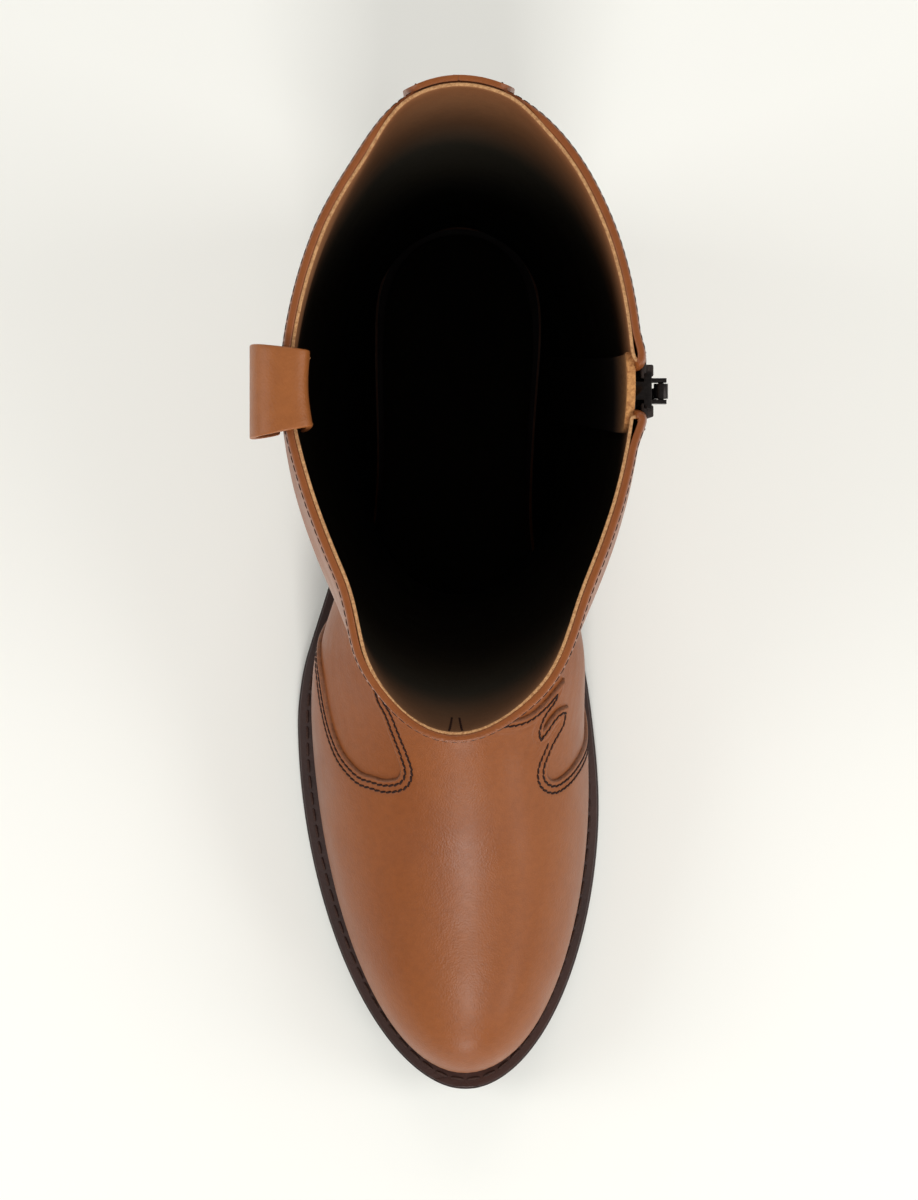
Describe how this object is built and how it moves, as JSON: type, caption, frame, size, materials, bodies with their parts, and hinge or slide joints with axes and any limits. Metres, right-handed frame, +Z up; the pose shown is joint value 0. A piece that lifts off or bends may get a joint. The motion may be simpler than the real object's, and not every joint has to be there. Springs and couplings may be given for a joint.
{
  "type": "knee-high boot",
  "caption": "Right knee-high boot in smooth leather with welted sole, low block heel, inner side zip and pull loop, standing empty on its sole.",
  "frame": {"origin": "on the floor under the middle of the heel, at the mount heel_rest", "axes": "+Z up along the shaft, -Y towards the toe, +X towards the inner (medial) side of the foot"},
  "size_m": [0.1038, 0.2885, 0.4036],
  "materials": {
    "upper_leather": "smooth, waxed, satin gloss",
    "lining_leather": "smooth, matt",
    "welt_leather": "dark, satin",
    "sole": "dark brown, matt",
    "heel": "stacked layers, satin",
    "top_lift": "matt",
    "zip_tape": "woven",
    "zip_metal": "dark, glossy"
  },
  "bodies": {
    "boot": {"upper": "upper_leather", "insole": "lining_leather", "welt": "welt_leather", "outsole": "sole", "heel_stack": "heel", "top_lift": "top_lift", "back_strip": "upper_leather", "pull_loop": "upper_leather", "zip_chain": "zip_tape", "zip_guard": "lining_leather", "zip_slider": "zip_metal"},
    "pull": {"zip_pull": "zip_metal"}
  },
  "joints": [
    {"name": "pull_swing", "type": "hinge", "parent": "boot", "child": "pull", "pos_m": [0.04884, -0.0425, 0.389], "axis": [0, -1, 0], "range_deg": [0, 165]}
  ]
}
